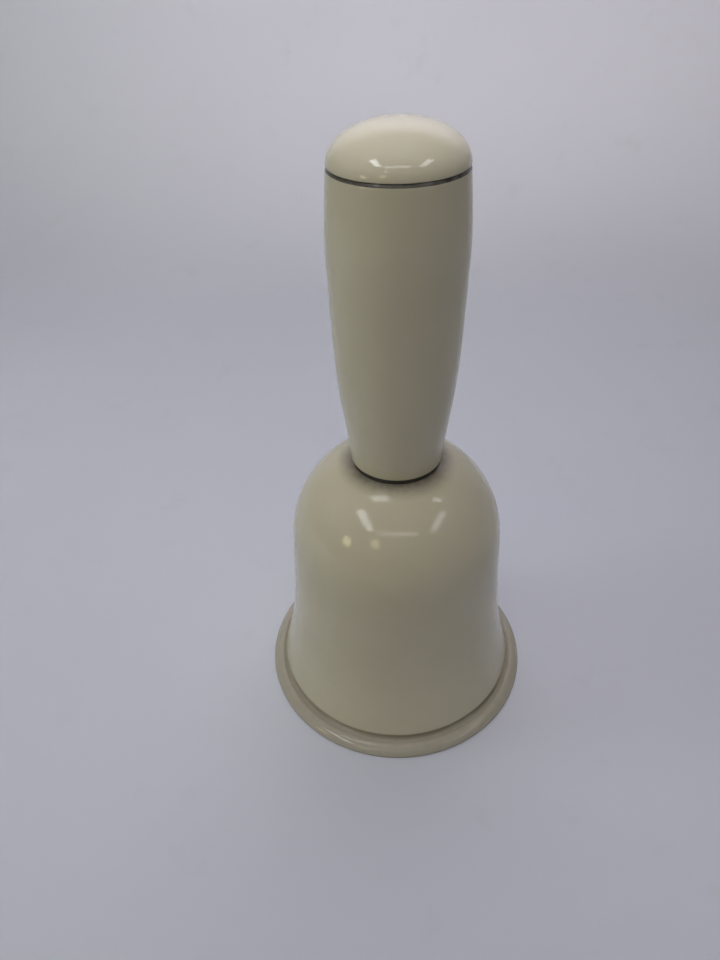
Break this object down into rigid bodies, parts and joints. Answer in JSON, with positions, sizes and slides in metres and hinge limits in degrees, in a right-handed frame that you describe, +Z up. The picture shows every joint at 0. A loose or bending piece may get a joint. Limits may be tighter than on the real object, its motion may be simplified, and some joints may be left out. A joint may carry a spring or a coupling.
{
  "type": "porcelain hand bell",
  "caption": "Cream glazed hand bell with a flared body, stepped lip ring, barrel handle with a domed cap, and a clapper that swings on a swivel eye.",
  "frame": {"origin": "middle of the foot ring, on the surface that the bell stands on", "axes": "+Z up along the bell's axis, from the mouth to the top of the handle; -Y is the side that faces the viewer, and the bell looks the same from every side"},
  "size_m": [0.068, 0.068, 0.1356],
  "materials": {
    "glazed_porcelain": "glossy cream glaze",
    "bead_porcelain": "glossy cream glaze",
    "seam_cement": "dark smooth cement",
    "gasket": "matt",
    "steel": "zinc plated",
    "fibre": "pressed red-brown fibre",
    "brass": "drawn brass, slightly dulled"
  },
  "bodies": {
    "bell": {"bell_body": "glazed_porcelain", "neck_gasket": "gasket", "handle_barrel": "glazed_porcelain", "cap_seam": "seam_cement", "handle_cap": "glazed_porcelain", "tie_stud": "steel", "barrel_pad": "fibre", "barrel_washer": "steel", "barrel_nut": "brass", "crown_pad": "fibre", "crown_washer": "brass", "hanger_nut": "brass"},
    "hanger": {"swivel_eye": "brass"},
    "clapper": {"clapper_wire": "brass", "clapper_ball": "bead_porcelain", "ball_collar": "brass", "ball_washer": "brass"}
  },
  "joints": [
    {"name": "hanger_swivel", "type": "hinge", "parent": "bell", "child": "hanger", "pos_m": [0, 0, 0.0542], "axis": [0, 0, 1], "continuous": true},
    {"name": "clapper_swing", "type": "hinge", "parent": "hanger", "child": "clapper", "pos_m": [0, 0, 0.0483], "axis": [1, 0, 0], "range_deg": [-32, 32]}
  ]
}
